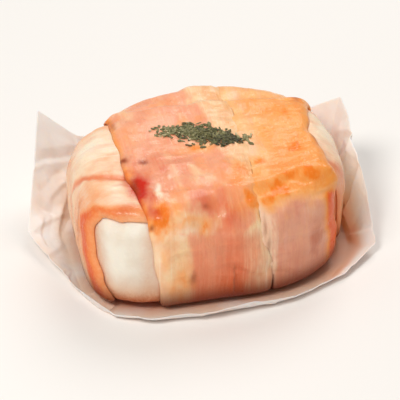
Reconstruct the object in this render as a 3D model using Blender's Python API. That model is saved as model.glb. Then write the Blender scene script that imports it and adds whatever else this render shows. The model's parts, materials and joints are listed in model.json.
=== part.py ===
"""Goat cheese wrapped in bacon, in its paper.

A squat goat cheese is wrapped by one rasher from side to side and by two overlapping rashers from
back to front, with chopped herbs on top, and stands in a creased sheet of paper.
Lengths are in millimetres, and the meshes are made in metres.
The frame: +X right, +Y back, +Z up, the origin under the cheese on the face that it rests on.
"""

import math

import bmesh
import bpy
import numpy as np

MM = 0.001
GAP = 0.34

# Cheese: u runs along the lower rasher, v along the upper ones, TURN round from the frame's axes
TURN = math.radians(12.0)
CHEESE_BOTTOM = 1.93
CHEESE_TOP = 23.0
CHEESE_HALF_WIDTH = 29.1
CHEESE_HALF_DEPTH = 28.1
CHEESE_TOP_ROUND = 5.0
CHEESE_FOOT_ROUND = 1.8
CHEESE_BARREL = 0.5
CHEESE_SUNKEN = 0.4
CHEESE_SUNKEN_SHARE = (0.14, 0.86)
BARE_CORNER = -136.0
BARE_WIDTH = 24.0
CHEESE_BARE_BULGE = 1.8
CHEESE_SLUMP = 0.7
CHEESE_LOW_CORNER = 1.8
CHEESE_LOW_FROM = 24.0
CHEESE_LOW_RUN = 16.0
CHEESE_STEPS = (60, 20)
CHEESE_ROUGHNESS = 0.55
# How square the cheese is in plan: 2 would be an ellipse, and each corner adds its own
PLAN_POWER = 2.4
PLAN_CORNERS = ((BARE_CORNER, 36.0, 1.6), (35.0, 30.0, 0.25), (135.0, 30.0, -0.4))

# Bacon
RASHER_THICKNESS = 1.45
TAIL_THICKNESS = 0.9
TAIL_LENGTH = 9.0
TAIL_MOST_SHARE = 0.35
TAIL_RUN = (0.70, 0.82)
EDGE_ROUND = 1.6
EDGE_LEAST = 0.4
EDGE_WAVE = 0.35
# Waves along the edges, as turns over a unit of run and their share of the height
EDGE_WAVES = ((23.0, 1.0), (-41.0, 0.6))
THIN_PATCH = 0.22
PATCH_TURNS = (0.55, 19.0)
RAMP = 3.6
OVERLAP = 6.0
SEAM = 0.5
PARTING_RUN = (0.68, 0.78)
# Edges that lie under or over another rasher thin out to this share, over this width
NO_TAPER = (1.0, 1.0)
HIDDEN_TAPER = (0.35, 7.0)
LAPPED_TAPER = (0.5, 6.0)
UNDER_HEIGHTS = (2.0, 4.0)
RIGHT_HEIGHTS = (3.5, 8.0)
UNDER_STEPS = (12, 54)
LEFT_STEPS = (12, 56)
RIGHT_STEPS = (10, 52)
RASHER_ROUGHNESS = 0.45
# The rashers' long edges, as (run, side) places, and the sides that each wrap spans
UNDER_SIDES = (-27.4, 20.0)
UNDER_FRONT = (
    (-1.0, -20.5),
    (-0.9, -22.5),
    (-0.82, -25.6),
    (-0.75, -23.6),
    (-0.67, -20.4),
    (-0.58, -19.4),
    (-0.5, -20.8),
    (-0.43, -24.4),
    (-0.3, -26.6),
    (0.0, -22.0),
    (0.46, -15.5),
    (0.75, -12.0),
    (1.0, -8.0),
)
UNDER_BACK = (
    (-1.0, 11.0),
    (-0.72, 12.5),
    (-0.45, 15.5),
    (0.0, 15.0),
    (0.5, 13.5),
    (0.75, 11.0),
    (1.0, 8.0),
)
OVER_SIDES = (-22.0, 28.4)
OUTER_LEFT = (
    (-1.0, -15.5),
    (-0.8, -16.3),
    (-0.5, -18.4),
    (-0.2, -20.3),
    (0.3, -19.6),
    (0.6, -18.0),
    (1.0, -15.0),
)
OVERLAP_EDGE = (
    (-1.0, 9.0),
    (-0.8, 9.0),
    (-0.5, 6.2),
    (0.0, 8.6),
    (0.5, 8.0),
    (0.8, 7.0),
    (1.0, 7.0),
)
OUTER_RIGHT = (
    (-1.0, 25.0),
    (-0.8, 26.3),
    (-0.5, 25.1),
    (0.0, 24.3),
    (0.4, 26.4),
    (0.8, 26.0),
    (1.0, 24.5),
)

# Herbs: a heap on top, in the frame's axes
HERB_MIDDLE = (-0.9, 1.1)
HERB_SPREAD = (5.0, 1.9)
HERB_REACH = (11.0, 4.2)
HERB_TILT = math.radians(-12.0)
HERB_TRIES = 700
HERB_APART = 0.62
HERB_LENGTH = (1.2, 2.8)
HERB_WIDTH = (0.5, 0.9)
HERB_HEIGHT = 0.5
HERB_TURNS = (0.15, 0.12, 0.7)
HERB_SINK = 0.12
HERB_CLEAR_OF_EDGE = 1.6

# Paper: its edge turns at these places, as degrees round from +X, reach from the middle and height
PAPER_EDGE = (
    (-10.0, 40.0, 2.5),
    (17.0, 38.2, 15.0),
    (41.0, 42.0, 21.0),
    (50.0, 38.5, 17.0),
    (68.0, 38.5, 10.0),
    (88.0, 39.0, 7.5),
    (108.0, 38.0, 9.5),
    (128.0, 38.0, 8.5),
    (142.0, 38.8, 12.5),
    (151.5, 44.9, 21.0),
    (184.0, 41.2, 2.8),
    (200.0, 38.0, 2.2),
    (220.0, 38.0, 1.6),
    (240.0, 40.5, 1.4),
    (252.0, 39.3, 1.8),
    (274.0, 35.5, 2.2),
    (286.0, 34.6, 3.0),
    (304.0, 34.8, 1.8),
    (330.0, 36.6, 1.4),
)
PAPER_THICKNESS = 0.35
PAPER_STEPS_ROUND = 96
PAPER_RINGS = (0.5, 1.0)
PAPER_STEPS_UP = 4
PAPER_FOOT_MARGIN = 2.9
PAPER_CREASE = 0.5
PAPER_CREASES = 40
# A wall this high is creased in full, and a low one by the least share
PAPER_CREASE_HEIGHT = 8.0
PAPER_CREASE_LEAST = 0.25
# How the wall rises: 1 is straight and 2 is curved like a bowl
PAPER_CURVE_LOW = 1.9
PAPER_CURVE_HIGH = 1.1
PAPER_HIGH = 12.0
PAPER_ROUGHNESS = 0.6


def clear_scene():
    for old in list(bpy.data.objects):
        bpy.data.objects.remove(old, do_unlink=True)


def smooth(x):
    x = np.clip(x, 0.0, 1.0)
    return x * x * (3.0 - 2.0 * x)


def bump(angle, middle, width):
    """A rise of 1 at the middle angle, in degrees, that dies away over the width."""
    away = (np.degrees(angle) - middle + 180.0) % 360.0 - 180.0
    return np.exp(-((away / width) ** 2))


def along(x, *points):
    """A smooth curve through (x, value) points."""
    xs = np.array([p[0] for p in points])
    values = np.array([p[1] for p in points])
    step = np.clip(np.searchsorted(xs, x) - 1, 0, len(xs) - 2)
    share = (x - xs[step]) / (xs[step + 1] - xs[step])
    return values[step] + (values[step + 1] - values[step]) * smooth(share)


def turned(points, angle):
    """Points turned about the upright axis."""
    result = np.array(points, float)
    result[..., 0] = points[..., 0] * math.cos(angle) - points[..., 1] * math.sin(angle)
    result[..., 1] = points[..., 0] * math.sin(angle) + points[..., 1] * math.cos(angle)
    return result


def cheese_radius(angle):
    """The cheese's plan: a disc pressed square by the rashers, fullest where it is bare in front."""
    power = PLAN_POWER + sum(more * bump(angle, middle, width) for middle, width, more in PLAN_CORNERS)
    across = np.abs(np.cos(angle) / CHEESE_HALF_WIDTH) ** power
    deep = np.abs(np.sin(angle) / CHEESE_HALF_DEPTH) ** power
    bulge = CHEESE_BARE_BULGE * bump(angle, BARE_CORNER, BARE_WIDTH)
    return (across + deep) ** (-1.0 / power) + bulge


def cheese_distance(points):
    """About how far each point lies outside the cheese."""
    u, v, z = np.moveaxis(points, -1, 0)
    angle = np.arctan2(v, u)
    radius = cheese_radius(angle)
    turn = 0.01
    slope = (cheese_radius(angle + turn) - cheese_radius(angle - turn)) / (2.0 * turn * radius)
    middle = (CHEESE_TOP + CHEESE_BOTTOM) / 2
    half = (CHEESE_TOP - CHEESE_BOTTOM) / 2
    out = np.hypot(u, v)
    height = (z - middle) / half
    barrel = CHEESE_BARREL * (1.0 - height**2)
    slump = CHEESE_SLUMP * bump(angle, BARE_CORNER, BARE_WIDTH) * np.clip(0.5 - height, 0.0, 1.5) / 1.5
    beyond = (out - radius - barrel - slump) / np.sqrt(1.0 + slope**2)
    flat, rim = CHEESE_SUNKEN_SHARE
    sunken = CHEESE_SUNKEN * smooth((rim - out / radius) / (rim - flat))
    low = CHEESE_LOW_CORNER * smooth((v - u - CHEESE_LOW_FROM) / CHEESE_LOW_RUN)
    upper = z > middle
    above = np.where(upper, z - middle - half + sunken + low, middle - half - z)
    rounding = np.where(upper, CHEESE_TOP_ROUND, CHEESE_FOOT_ROUND)
    side = beyond + rounding
    cap = above + rounding
    corner = np.hypot(np.maximum(side, 0.0), np.maximum(cap, 0.0))
    return corner + np.minimum(np.maximum(side, cap), 0.0) - rounding


def outward(points):
    """Unit vectors straight out of the cheese's skin."""
    reach = 0.05
    moves = np.eye(3) * reach
    slopes = [cheese_distance(points + move) - cheese_distance(points - move) for move in moves]
    normals = np.stack(slopes, axis=-1)
    return normals / np.linalg.norm(normals, axis=-1, keepdims=True)


def skin_along(origin, directions):
    """Where rays from inside the cheese meet its skin, found by halving."""
    near = np.zeros(directions.shape[:-1])
    far = np.full(directions.shape[:-1], 60.0)
    for _ in range(40):
        half = (near + far) / 2
        inside = cheese_distance(origin + directions * half[..., None]) < 0.0
        near = np.where(inside, half, near)
        far = np.where(inside, far, half)
    return origin + directions * near[..., None]


class Wrap:
    """The cheese's skin as upright sections side by side, for the rashers that run along them.

    A place on it is a side, how far its section lies from the middle, and a run. The run goes from
    -1 at the end of the tail on the low side of the axis, left or front, over the top's middle at 0,
    to 1 at the end of the other tail. Axis 0 runs along u, from side to side, and 1 along v.
    """

    RAYS = 360
    RUNS = 200

    def __init__(self, axis, first_side, last_side, sections=90):
        self.axis = axis
        self.sides = np.linspace(first_side, last_side, sections)
        halves = [self.half_sections(sign) for sign in (-1.0, 1.0)]
        self.whole = np.stack([whole for whole, _ in halves], axis=-1)
        first, last = (path for _, path in halves)
        self.path = np.concatenate([first[:, :0:-1], last], axis=1)

    def half_sections(self, sign):
        """Each section's length from the top's middle to its tail's end, and its points at even steps."""
        turn = np.linspace(0.0, math.pi - 0.02, self.RAYS)
        origin = np.zeros((len(self.sides), self.RAYS, 3))
        origin[..., 1 - self.axis] = self.sides[:, None]
        origin[..., 2] = (CHEESE_TOP + CHEESE_BOTTOM) / 2
        directions = np.zeros_like(origin)
        directions[..., self.axis] = sign * np.sin(turn)
        directions[..., 2] = np.cos(turn)
        skin = skin_along(origin, directions)
        whole, path = [], []
        for section in skin:
            out = np.abs(section[:, self.axis])
            widest = int(np.argmax(out))
            gone = out + CHEESE_TOP - section[:, 2]
            gone[widest:] += 2.0 * (out[widest] - out[widest:])
            gone = np.maximum.accumulate(gone - gone[0])
            tail = min(TAIL_LENGTH, TAIL_MOST_SHARE * out[widest])
            end = widest + int(np.argmax(out[widest:] < out[widest] - tail))
            whole.append(gone[end])
            steps = np.linspace(0.0, gone[end], self.RUNS + 1)
            path.append([np.interp(steps, gone[: end + 1], section[: end + 1, k]) for k in range(3)])
        return np.array(whole), np.moveaxis(np.array(path), 1, 2)

    def row_of(self, side):
        """The section just before each side, and the share of the way to the next one."""
        place = (side - self.sides[0]) / (self.sides[1] - self.sides[0])
        place = np.clip(place, 0.0, len(self.sides) - 1.001)
        row = place.astype(int)
        return row, place - row

    def at(self, side, run):
        """The skin's points at these places."""
        row, share = self.row_of(side)
        step = np.clip((run + 1.0) * self.RUNS, 0.0, 2 * self.RUNS - 0.001)
        column = step.astype(int)
        rest = (step - column)[..., None]
        near = self.path[row, column] * (1.0 - rest) + self.path[row, column + 1] * rest
        far = self.path[row + 1, column] * (1.0 - rest) + self.path[row + 1, column + 1] * rest
        return near * (1.0 - share[..., None]) + far * share[..., None]

    def run_of(self, points):
        """The runs of points near the skin of the top and the walls."""
        row, share = self.row_of(points[..., 1 - self.axis])
        whole = self.whole[row] * (1.0 - share[..., None]) + self.whole[row + 1] * share[..., None]
        forward = points[..., self.axis]
        whole = np.where(forward < 0.0, whole[..., 0], whole[..., 1])
        gone = np.abs(forward) + CHEESE_TOP - points[..., 2]
        return np.sign(forward) * np.clip(gone / whole, 0.0, 1.0)


class Rasher:
    """A strip of bacon on a wrap, between two edges, over whatever is declared beneath it.

    Other rashers lie over it above the second of its heights, and beside it below the first.
    """

    def __init__(self, wrap, first_edge, last_edge, heights, beneath=(), tapers=(NO_TAPER, NO_TAPER), seed=0.0):
        self.wrap = wrap
        self.tapers = tapers
        self.heights = heights
        self.first_edge = first_edge
        self.last_edge = last_edge
        self.beneath = beneath
        self.seed = seed

    def wave(self, run, turn):
        waves = sum(share * np.sin(turns * run + turn + self.seed) for turns, share in EDGE_WAVES)
        waves = waves / sum(share for _, share in EDGE_WAVES)
        return EDGE_WAVE * waves * (1.0 - self.tail(run))

    def tail(self, run):
        return smooth((np.abs(run) - TAIL_RUN[0]) / (TAIL_RUN[1] - TAIL_RUN[0]))

    def edges(self, run):
        return self.first_edge(run) + self.wave(run, 0.7), self.last_edge(run) + self.wave(run, 2.9)

    def inside(self, side, run):
        """How far in from the nearer edge."""
        first, last = self.edges(run)
        return np.minimum(side - first, last - side)

    def cover(self, points):
        """How much higher a rasher on top of this one lies at these points."""
        run = self.wrap.run_of(points)
        side = points[..., 1 - self.wrap.axis]
        inside = self.inside(side, run)
        ends_at, full_at = self.heights
        apart = smooth((points[..., 2] - ends_at) / (full_at - ends_at))
        return (GAP + self.body(side, run)) * smooth((inside + RAMP) / RAMP) * apart

    def body(self, side, run):
        """The thickness before the edges are rounded."""
        thick = RASHER_THICKNESS + (TAIL_THICKNESS - RASHER_THICKNESS) * self.tail(run)
        first, last = self.edges(run)
        share = 1.0
        for (least, width), away in zip(self.tapers, (side - first, last - side)):
            share = share * (least + (1.0 - least) * smooth(away / width))
        return thick * np.maximum(share, self.tail(run))

    def thickness(self, side, run):
        from_edge = np.clip(self.inside(side, run) / EDGE_ROUND, 0.0, 1.0)
        rounding = EDGE_LEAST + (1.0 - EDGE_LEAST) * np.sqrt(1.0 - (1.0 - from_edge) ** 2)
        across, lengthwise = PATCH_TURNS
        patches = np.sin(across * side + self.seed) * np.sin(lengthwise * run + self.seed)
        thin = THIN_PATCH * (0.5 + 0.5 * patches) * (1.0 - self.tail(run))
        return self.body(side, run) * rounding * (1.0 - thin)

    def surface(self, side, run, share):
        """Points through the rasher's thickness: share 0 is its inner face and 1 its outer face."""
        points = self.wrap.at(side, run)
        lift = GAP + sum(other.cover(points) for other in self.beneath)
        return points + outward(points) * (lift + share * self.thickness(side, run))[..., None]

    def faces(self, steps):
        """The inner and outer faces as two grids of points, closer together near the long edges."""
        across, lengthwise = steps
        share = 0.5 - 0.5 * np.cos(np.linspace(0.0, math.pi, across + 1))
        run = np.linspace(-1.0, 1.0, lengthwise + 1)[None, :].repeat(across + 1, axis=0)
        first, last = self.edges(run)
        side = first + (last - first) * share[:, None]
        return self.surface(side, run, 0.0), self.surface(side, run, 1.0)


def under_rasher():
    """The one from side to side: wide over the front left of the top, drawn in on the wall below."""
    wrap = Wrap(0, *UNDER_SIDES)

    def front(run):
        return along(run, *UNDER_FRONT)

    def back(run):
        return along(run, *UNDER_BACK)

    return Rasher(wrap, front, back, UNDER_HEIGHTS, seed=0.4)


def over_rashers(under):
    """The two from back to front. They overlap on top and part lower down."""
    wrap = Wrap(1, *OVER_SIDES)

    def outer_left(run):
        return along(run, *OUTER_LEFT)

    def overlap_edge(run):
        return along(run, *OVERLAP_EDGE)

    def hidden_edge(run):
        apart = smooth((np.abs(run) - PARTING_RUN[0]) / (PARTING_RUN[1] - PARTING_RUN[0]))
        return overlap_edge(run) - OVERLAP + (OVERLAP + SEAM) * apart

    def outer_right(run):
        return along(run, *OUTER_RIGHT)

    hidden, lapped = (HIDDEN_TAPER, NO_TAPER), (NO_TAPER, LAPPED_TAPER)
    right = Rasher(wrap, hidden_edge, outer_right, RIGHT_HEIGHTS, (under,), hidden, seed=2.1)
    left = Rasher(wrap, outer_left, overlap_edge, RIGHT_HEIGHTS, (under, right), lapped, seed=1.2)
    return left, right


def make_object(name, points, faces, colour, roughness):
    mesh = bpy.data.meshes.new(name)
    mesh.from_pydata((points * MM).tolist(), [], faces)
    work = bmesh.new()
    work.from_mesh(mesh)
    bmesh.ops.recalc_face_normals(work, faces=work.faces)
    work.to_mesh(mesh)
    work.free()
    made = bpy.data.objects.new(name, mesh)
    bpy.context.collection.objects.link(made)
    made.data.materials.append(plain_material(name, colour, roughness))
    return made


def plain_material(name, colour, roughness):
    """A matt food or paper colour, from its eight-bit red, green and blue."""
    material = bpy.data.materials.new(name)
    material.use_nodes = True
    shader = material.node_tree.nodes["Principled BSDF"]
    shader.inputs["Base Color"].default_value = [(part / 255.0) ** 2.2 for part in colour] + [1.0]
    shader.inputs["Roughness"].default_value = roughness
    shader.inputs["Metallic"].default_value = 0.0
    return material


def sheet_faces(first, last, offset=0):
    """Quads of a grid of points that has first by last steps."""
    return [
        (a, a + 1, a + last + 2, a + last + 1)
        for i in range(first)
        for a in range(offset + i * (last + 1), offset + i * (last + 1) + last)
    ]


def make_rasher(name, rasher, steps, colour):
    inner, outer = (turned(face, TURN) for face in rasher.faces(steps))
    across, lengthwise = steps
    count = (across + 1) * (lengthwise + 1)
    rim = [(0, j) for j in range(lengthwise)]
    rim += [(i, lengthwise) for i in range(across)]
    rim += [(across, j) for j in range(lengthwise, 0, -1)]
    rim += [(i, 0) for i in range(across, 0, -1)]
    rim = [i * (lengthwise + 1) + j for i, j in rim]
    faces = sheet_faces(across, lengthwise) + sheet_faces(across, lengthwise, count)
    faces += [(a, b, b + count, a + count) for a, b in zip(rim, rim[1:] + rim[:1])]
    points = np.concatenate([inner.reshape(-1, 3), outer.reshape(-1, 3)])
    return make_object(name, points, faces, colour, RASHER_ROUGHNESS)


def cheese_tilts(middle, rings):
    """Angles from upright that space the rings evenly down the skin, and closer where it rounds."""
    tilt = np.linspace(0.0, math.pi, 400)
    section = skin_along(middle, np.stack([np.sin(tilt), np.zeros_like(tilt), np.cos(tilt)], axis=-1))
    steps = np.abs(np.diff(section[:, 0])) + np.abs(np.diff(section[:, 2]))
    turns = np.abs(np.diff(np.unwrap(np.arctan2(*np.diff(section[:, [2, 0]], axis=0).T))))
    steps[1:] += CHEESE_TOP_ROUND * turns
    gone = np.concatenate([[0.0], np.cumsum(steps)])
    return np.interp(np.linspace(0.0, gone[-1], rings + 2), gone, tilt)


def make_cheese():
    """The skin along rays from the cheese's middle, as rings between a top and a bottom point."""
    round_steps, rings = CHEESE_STEPS
    middle = np.array([0.0, 0.0, (CHEESE_TOP + CHEESE_BOTTOM) / 2])
    angle = np.linspace(0.0, 2.0 * math.pi, round_steps, endpoint=False)
    angle, tilt = np.meshgrid(angle, cheese_tilts(middle, rings))
    directions = np.stack([np.sin(tilt) * np.cos(angle), np.sin(tilt) * np.sin(angle), np.cos(tilt)], -1)
    skin = turned(skin_along(middle, directions), TURN)
    points = np.concatenate([skin[0, :1], skin[1:-1].reshape(-1, 3), skin[-1, :1]])
    last = len(points) - 1
    after = [(k + 1) % round_steps for k in range(round_steps)]
    faces = [(0, 1 + k, 1 + after[k]) for k in range(round_steps)]
    for ring in range(rings - 1):
        start = 1 + ring * round_steps
        below = start + round_steps
        faces += [(start + k, below + k, below + after[k], start + after[k]) for k in range(round_steps)]
    start = 1 + (rings - 1) * round_steps
    faces += [(start + k, last, start + after[k]) for k in range(round_steps)]
    return make_object("goat_cheese", points, faces, (243, 234, 220), CHEESE_ROUGHNESS)


def paper_edge(angle):
    """The paper's edge, straight between its turning points."""
    corners = np.array(PAPER_EDGE + ((PAPER_EDGE[0][0] + 360.0, *PAPER_EDGE[0][1:]),))
    at = np.radians(corners[:, 0])
    x, y, z = corners[:, 1] * np.cos(at), corners[:, 1] * np.sin(at), corners[:, 2]
    degrees = (np.degrees(angle) - PAPER_EDGE[0][0]) % 360.0 + PAPER_EDGE[0][0]
    return np.stack([np.interp(degrees, corners[:, 0], values) for values in (x, y, z)], axis=-1)


def paper_creases(angle):
    """Folds that run up the paper: straight-sided, unevenly spaced, from a seeded draw."""
    draw = np.random.default_rng(11)
    places = np.linspace(0.0, 2.0 * math.pi, PAPER_CREASES, endpoint=False)
    places = places + draw.uniform(-0.4, 0.4, PAPER_CREASES) * (places[1] - places[0])
    heights = draw.uniform(-1.0, 1.0, PAPER_CREASES)
    return PAPER_CREASE * np.interp(angle, places, heights, period=2.0 * math.pi)


def paper_foot(angle):
    """Where the paper leaves the flat, close round the wrapped cheese."""
    radius = cheese_radius(angle - TURN) + PAPER_FOOT_MARGIN
    return np.stack([radius * np.cos(angle), radius * np.sin(angle), np.zeros_like(angle)], axis=-1)


def make_paper():
    """A flat floor, then a wall that rises to the edge, doubled for the paper's thickness."""
    angle = np.linspace(0.0, 2.0 * math.pi, PAPER_STEPS_ROUND, endpoint=False)
    foot = paper_foot(angle)
    edge = paper_edge(angle)
    wall = edge - foot
    crease = paper_creases(angle)
    high = np.clip(edge[:, 2] / PAPER_HIGH, 0.0, 1.0)
    curve = PAPER_CURVE_LOW + (PAPER_CURVE_HIGH - PAPER_CURVE_LOW) * high
    creased = np.clip(edge[:, 2] / PAPER_CREASE_HEIGHT, PAPER_CREASE_LEAST, 1.0)
    away = np.stack([np.cos(angle), np.sin(angle), np.zeros_like(angle)], axis=-1)
    rings = [foot * share for share in PAPER_RINGS]
    for step in range(1, PAPER_STEPS_UP + 1):
        share = step / PAPER_STEPS_UP
        ring = foot + wall * share
        ring[:, 2] = edge[:, 2] * share**curve
        rings.append(ring + away * (crease * creased * share)[:, None])
    below = np.array(rings)
    after = np.roll(below, -1, axis=1)
    before = np.roll(below, 1, axis=1)
    outer = np.concatenate([below[1:], below[-1:]])
    inner = np.concatenate([below[:1], below[:-1]])
    normals = np.cross(outer - inner, after - before)
    normals /= np.linalg.norm(normals, axis=-1, keepdims=True)
    normals[: len(PAPER_RINGS) - 1] = (0.0, 0.0, 1.0)
    above = below + normals * PAPER_THICKNESS
    above[: len(PAPER_RINGS), :, 2] = PAPER_THICKNESS
    middle = np.array([[0.0, 0.0, 0.0], [0.0, 0.0, PAPER_THICKNESS]])
    points = np.concatenate([below.reshape(-1, 3), above.reshape(-1, 3), middle])
    count = len(rings) * PAPER_STEPS_ROUND
    faces = []
    for k in range(PAPER_STEPS_ROUND):
        n = (k + 1) % PAPER_STEPS_ROUND
        faces.append((2 * count, n, k))
        faces.append((2 * count + 1, count + k, count + n))
        for ring in range(len(rings) - 1):
            a, b = ring * PAPER_STEPS_ROUND, (ring + 1) * PAPER_STEPS_ROUND
            faces.append((a + k, a + n, b + n, b + k))
            faces.append((count + a + k, count + b + k, count + b + n, count + a + n))
        last = count - PAPER_STEPS_ROUND
        faces.append((last + k, last + n, count + last + n, count + last + k))
    return make_object("paper", points, faces, (246, 236, 226), PAPER_ROUGHNESS)


def herb_places():
    """Flakes as middle, turn, length and width, in the frame's axes, from a seeded draw.

    Each keeps clear of those before it, which is tested at its middle and its two ends.
    """
    draw = np.random.default_rng(5)
    flakes = []
    taken = np.full((1, 2), 1e3)
    for _ in range(HERB_TRIES):
        spot = draw.normal(0.0, 1.0, 2) * HERB_SPREAD
        turn = draw.normal(0.0, HERB_TURNS)
        length, width = draw.uniform(*HERB_LENGTH), draw.uniform(*HERB_WIDTH)
        if np.any(np.abs(spot) > HERB_REACH):
            continue
        place = turned(np.array([*spot, 0.0]), HERB_TILT)[:2] + HERB_MIDDLE
        heading = np.array([math.cos(turn[2]), math.sin(turn[2])])
        own = place + np.outer([-0.5, 0.0, 0.5], heading) * length
        apart = np.linalg.norm(own[:, None] - taken[None], axis=-1).min()
        if apart > HERB_APART:
            flakes.append((place, turn, length, width))
            taken = np.concatenate([taken, own])
    return flakes


def lozenge(length, width):
    """A flake: a flat lozenge, pointed at both ends."""
    half = np.diag([length, width, HERB_HEIGHT]) / 2 * MM
    points = [*half, *-half]
    faces = [(0, 1, 2), (1, 3, 2), (3, 4, 2), (4, 0, 2), (1, 0, 5), (3, 1, 5), (4, 3, 5), (0, 4, 5)]
    mesh = bpy.data.meshes.new("flake")
    mesh.from_pydata([tuple(point) for point in points], [], faces)
    return mesh


def add_herbs(rasher_object, rasher):
    """Fuses to the rasher the flakes that lie wholly on it."""
    flakes = bpy.data.collections.new("flakes")
    for place, turn, length, width in herb_places():
        spot = turned(np.array([*place, CHEESE_TOP]), -TURN)
        run = rasher.wrap.run_of(spot)
        if rasher.inside(spot[0], run) < HERB_CLEAR_OF_EDGE:
            continue
        base = turned(rasher.surface(spot[0], run, 1.0), TURN)
        flake = bpy.data.objects.new("flake", lozenge(length, width))
        flake.location = (base + (0.0, 0.0, HERB_HEIGHT / 2 - HERB_SINK)) * MM
        flake.rotation_euler = turn
        flakes.objects.link(flake)
    bpy.context.scene.collection.children.link(flakes)
    join = rasher_object.modifiers.new("herbs", "BOOLEAN")
    join.operation = "UNION"
    join.operand_type = "COLLECTION"
    join.collection = flakes
    join.solver = "EXACT"
    bpy.ops.object.select_all(action="DESELECT")
    bpy.context.view_layer.objects.active = rasher_object
    rasher_object.select_set(True)
    bpy.ops.object.modifier_apply(modifier=join.name)
    for flake in list(flakes.objects):
        bpy.data.objects.remove(flake, do_unlink=True)
    bpy.data.collections.remove(flakes)
    keep_largest_shell(rasher_object.data)


def keep_largest_shell(mesh):
    """Drops the loose scraps that a union leaves, and fills the hollows that it seals."""
    work = bmesh.new()
    work.from_mesh(mesh)
    waiting = set(work.faces)
    shells = []
    while waiting:
        front = [waiting.pop()]
        shell = []
        while front:
            face = front.pop()
            shell.append(face)
            near = {other for edge in face.edges for other in edge.link_faces} & waiting
            waiting -= near
            front.extend(near)
        shells.append(shell)
    shells.sort(key=len)
    for shell in shells[:-1]:
        bmesh.ops.delete(work, geom=shell, context="FACES")
    work.to_mesh(mesh)
    work.free()


def main():
    clear_scene()
    under = under_rasher()
    left, right = over_rashers(under)
    make_paper()
    make_cheese()
    make_rasher("bacon_under", under, UNDER_STEPS, (244, 178, 140))
    left_object = make_rasher("bacon_over_left", left, LEFT_STEPS, (238, 164, 132))
    right_object = make_rasher("bacon_over_right", right, RIGHT_STEPS, (240, 160, 104))
    add_herbs(left_object, left)
    add_herbs(right_object, right)


main()
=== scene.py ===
"""The looks of a goat cheese wrapped in bacon, in its paper, on a plain pale floor.

Lengths are in millimetres in the row's frame, and the meshes are made in metres.
"""

import json
import math
from dataclasses import dataclass

import bpy
import numpy as np
from mathutils import Euler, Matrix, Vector

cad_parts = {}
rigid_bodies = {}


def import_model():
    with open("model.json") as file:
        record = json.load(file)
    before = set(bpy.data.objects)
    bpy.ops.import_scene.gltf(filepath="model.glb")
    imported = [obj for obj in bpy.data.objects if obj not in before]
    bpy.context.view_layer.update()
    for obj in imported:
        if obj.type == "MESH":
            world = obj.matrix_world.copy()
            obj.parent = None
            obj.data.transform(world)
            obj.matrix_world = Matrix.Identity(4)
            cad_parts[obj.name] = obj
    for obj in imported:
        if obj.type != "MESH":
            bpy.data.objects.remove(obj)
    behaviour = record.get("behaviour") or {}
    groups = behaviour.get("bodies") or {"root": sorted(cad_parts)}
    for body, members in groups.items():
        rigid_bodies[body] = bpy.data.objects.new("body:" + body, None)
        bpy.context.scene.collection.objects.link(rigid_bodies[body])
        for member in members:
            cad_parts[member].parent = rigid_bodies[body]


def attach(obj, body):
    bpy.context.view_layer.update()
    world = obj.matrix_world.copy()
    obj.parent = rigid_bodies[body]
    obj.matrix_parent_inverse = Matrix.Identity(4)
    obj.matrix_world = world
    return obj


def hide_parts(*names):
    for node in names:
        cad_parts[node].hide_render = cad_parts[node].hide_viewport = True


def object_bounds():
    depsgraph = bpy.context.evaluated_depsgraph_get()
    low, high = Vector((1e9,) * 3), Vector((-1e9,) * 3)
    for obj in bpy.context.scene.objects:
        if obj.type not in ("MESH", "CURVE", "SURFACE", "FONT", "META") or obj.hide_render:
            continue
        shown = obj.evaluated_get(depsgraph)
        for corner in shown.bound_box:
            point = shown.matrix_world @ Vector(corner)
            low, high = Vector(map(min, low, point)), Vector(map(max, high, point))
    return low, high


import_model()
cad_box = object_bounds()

MM = 0.001
BODY = "root"
GAP = 0.34

# Cheese: u runs along the lower rasher, v along the upper ones, TURN round from the frame's axes
TURN = math.radians(12.0)
CHEESE_BOTTOM = 1.93
CHEESE_TOP = 23.0
CHEESE_MIDDLE = (CHEESE_TOP + CHEESE_BOTTOM) / 2
CHEESE_HALF_WIDTH = 29.1
CHEESE_HALF_DEPTH = 28.1
CHEESE_TOP_ROUND = 5.0
CHEESE_FOOT_ROUND = 1.8
CHEESE_BARREL = 0.5
CHEESE_SUNKEN = 0.4
CHEESE_SUNKEN_SHARES = (0.86, 0.14)
BARE_CORNER = -136.0
BARE_WIDTH = 24.0
CHEESE_BARE_BULGE = 1.8
CHEESE_SLUMP = 0.7
CHEESE_LOW_CORNER = 1.8
CHEESE_LOW_REACH = (24.0, 40.0)
CHEESE_ROUGH = 0.16
CHEESE_FINE = 0.05
CHEESE_PITS = 0.16
CHEESE_CRUMBS = 0.1
# Painted warm bounce light: the cheese turns tan from the first height down to the second
CHEESE_BOUNCE_HEIGHTS = (11.0, 2.0)
CHEESE_FOOT_HEIGHTS = (6.0, 2.4)
CHEESE_STEPS = (420, 150)
RAY_LENGTH = 60.0
HALVINGS = 30
PLAN_POWER = 2.4
PLAN_CORNERS = ((BARE_CORNER, 36.0, 1.6), (35.0, 30.0, 0.25), (135.0, 30.0, -0.4))

# The bare front between the rashers, whose left side leans in below a height
BARE_SIDES = (-25.6, -12.4)
BARE_TOP = 21.5
BARE_LEAN = 0.16
BARE_LEAN_BELOW = 17.0

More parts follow.
